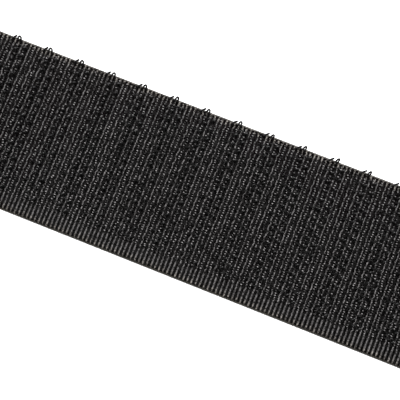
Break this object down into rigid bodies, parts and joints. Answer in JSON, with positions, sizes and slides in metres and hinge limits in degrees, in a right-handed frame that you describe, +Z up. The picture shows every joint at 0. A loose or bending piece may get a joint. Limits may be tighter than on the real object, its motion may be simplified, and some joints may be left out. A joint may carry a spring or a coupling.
{
  "type": "hook tape roll",
  "caption": "Roll of black woven hook tape on a paperboard core, wound hooks inward, with its free end drawn out flat, hooks up.",
  "frame": {"origin": "on the surface that the roll stands on, under the middle of its length and width; this is a point on the back of the drawn-out tape", "axes": "+X along the drawn-out tape towards its cut end, +Y across the tape towards the edge with the narrow margin, +Z up, out of the hook side of the drawn-out tape"},
  "size_m": [0.1474, 0.025, 0.0786],
  "materials": {
    "paperboard": "matt kraft paperboard, wound in plies",
    "woven_nylon": "black multifilament weave with bright cross ribs, coated on the back",
    "hook_monofilament": "black nylon monofilament, slightly glossy"
  },
  "bodies": {
    "root": {"core_tube": "paperboard", "woven_ground": "woven_nylon", "hook_filament_01": "hook_monofilament", "hook_filament_02": "hook_monofilament", "hook_filament_03": "hook_monofilament", "hook_filament_04": "hook_monofilament", "hook_filament_05": "hook_monofilament", "hook_filament_06": "hook_monofilament", "hook_filament_07": "hook_monofilament", "hook_filament_08": "hook_monofilament", "hook_filament_09": "hook_monofilament", "hook_filament_10": "hook_monofilament", "hook_filament_11": "hook_monofilament", "hook_filament_12": "hook_monofilament", "hook_filament_13": "hook_monofilament", "hook_filament_14": "hook_monofilament", "hook_filament_15": "hook_monofilament"}
  },
  "joints": []
}
